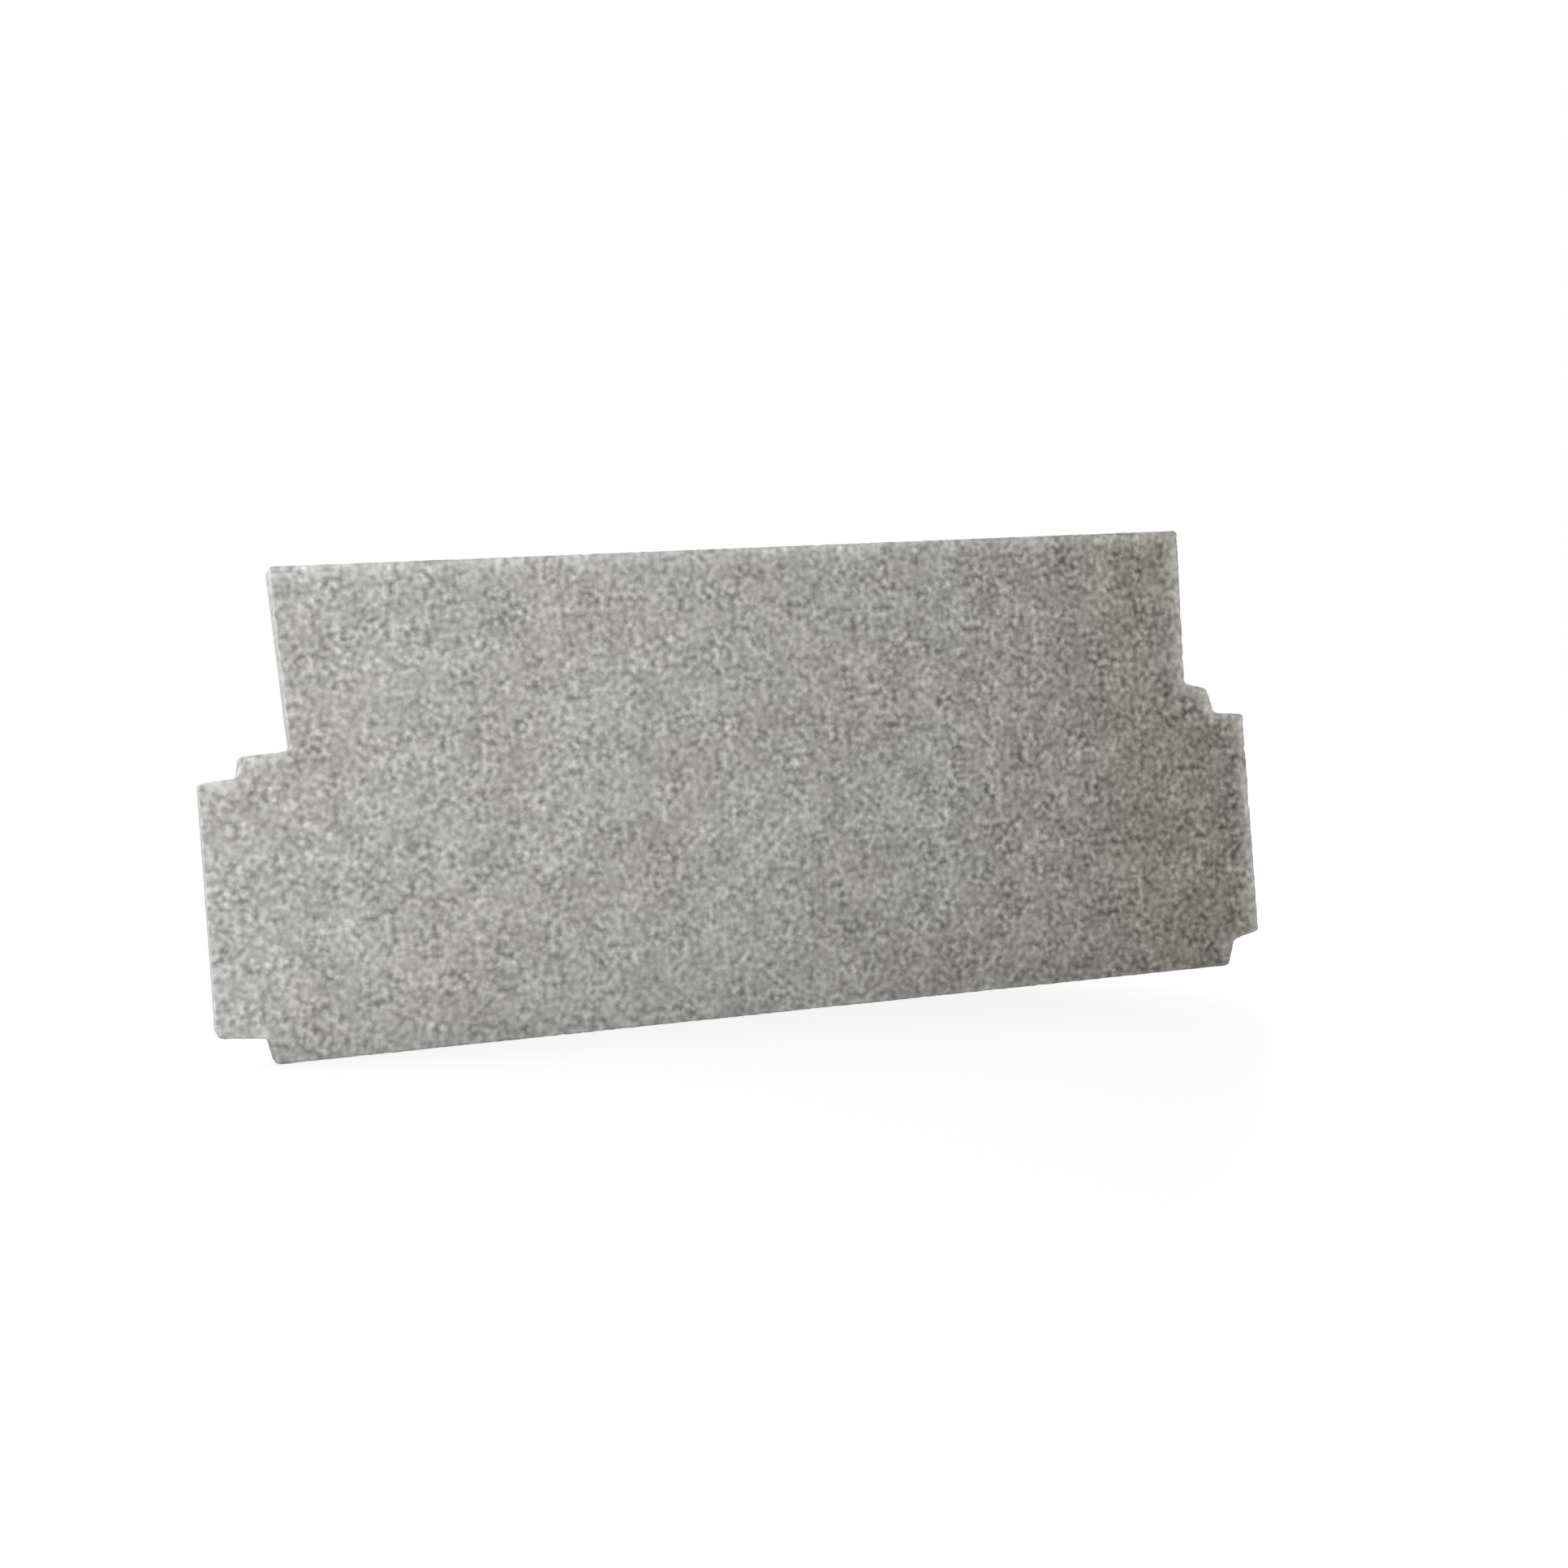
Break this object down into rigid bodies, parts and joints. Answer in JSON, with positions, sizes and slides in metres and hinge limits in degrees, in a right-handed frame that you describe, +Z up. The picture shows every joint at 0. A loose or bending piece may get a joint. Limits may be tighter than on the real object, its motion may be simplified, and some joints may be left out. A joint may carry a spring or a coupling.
{
  "type": "combination sharpening stone with stepped ends",
  "caption": "Flat combination whetstone, a coarse and a fine abrasive layer cemented back to back, with stepped tab ends that locate it in a holder.",
  "frame": {"origin": "middle of the long base edge that the stone stands on, at half its thickness", "axes": "+X along the stone's length, +Y through its thickness from the coarse face to the fine face, +Z up from the base edge to the top edge; the stone is used lying on either broad face"},
  "size_m": [0.25, 0.012, 0.1075],
  "materials": {
    "coarse_abrasive": "matte",
    "fine_abrasive": "matte",
    "bond_cement": "matte"
  },
  "bodies": {
    "root": {"coarse_stone": "coarse_abrasive", "bond_layer": "bond_cement", "fine_stone": "fine_abrasive"}
  },
  "joints": []
}
